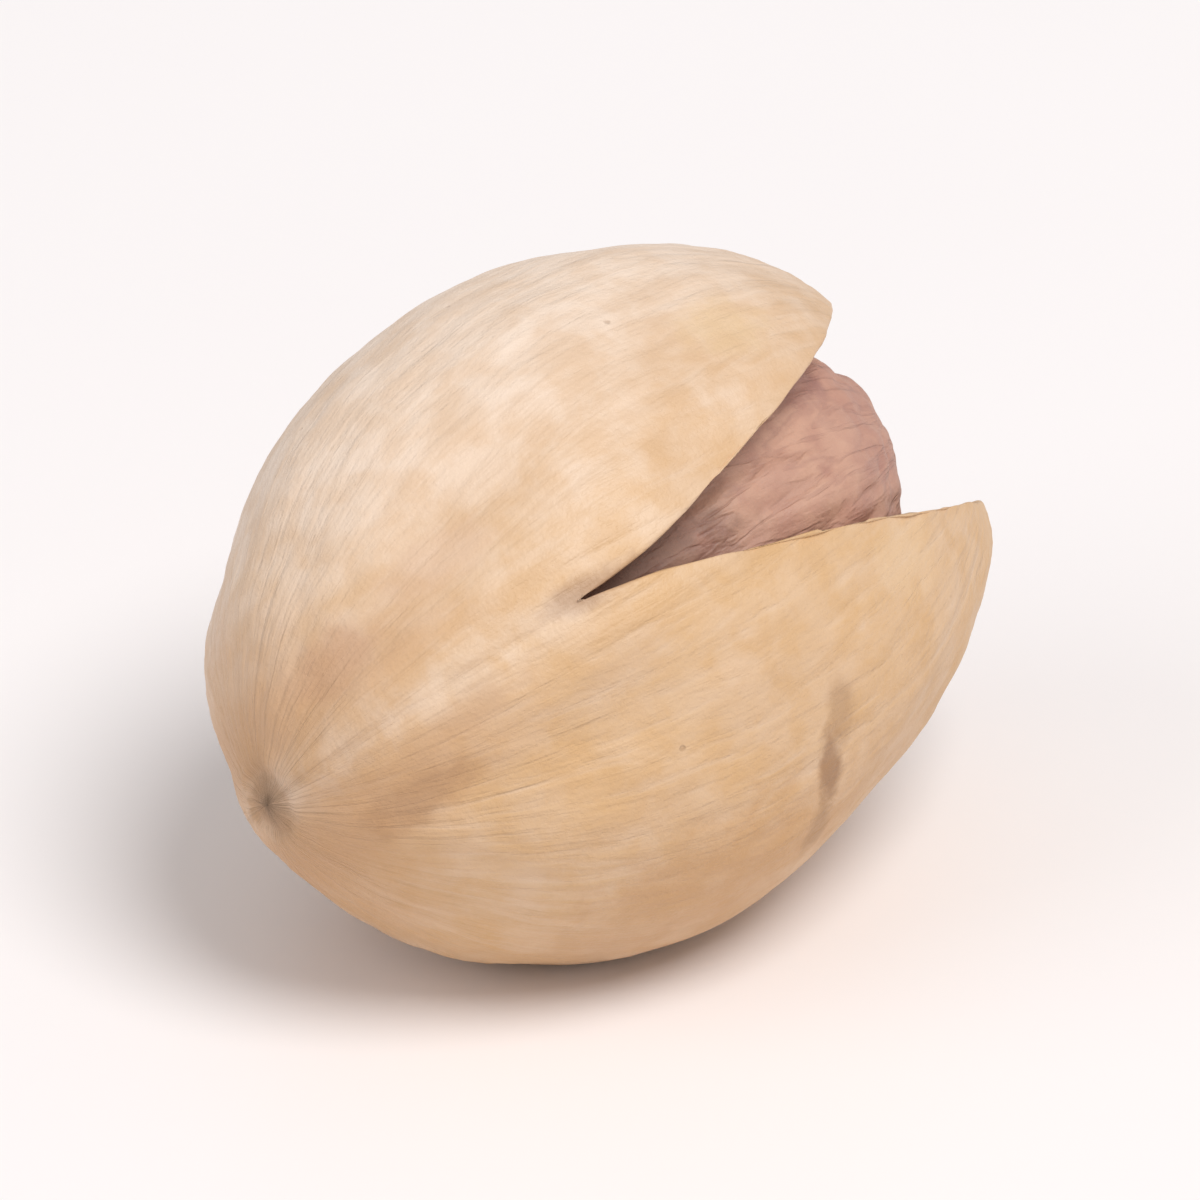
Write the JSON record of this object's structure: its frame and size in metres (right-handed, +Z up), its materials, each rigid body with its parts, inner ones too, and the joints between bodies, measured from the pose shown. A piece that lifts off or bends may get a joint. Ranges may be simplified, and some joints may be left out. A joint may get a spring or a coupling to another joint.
{
  "type": "pistachio in shell",
  "caption": "Roasted pistachio nut: an egg-shaped woody shell split open round its pointed end, with the loose kernel showing in the mouth.",
  "frame": {"origin": "middle of the nut's outline as seen from above, on the surface the nut lies on", "axes": "+X from the stem end to the pointed, open end of the nut, +Z up, and -Y on the side where the seam of the shell is turned up and shows"},
  "size_m": [0.0208, 0.0154, 0.0154],
  "materials": {
    "shell": "matte",
    "kernel": "matte"
  },
  "bodies": {
    "root": {"shell": "shell", "kernel": "kernel"}
  },
  "joints": []
}
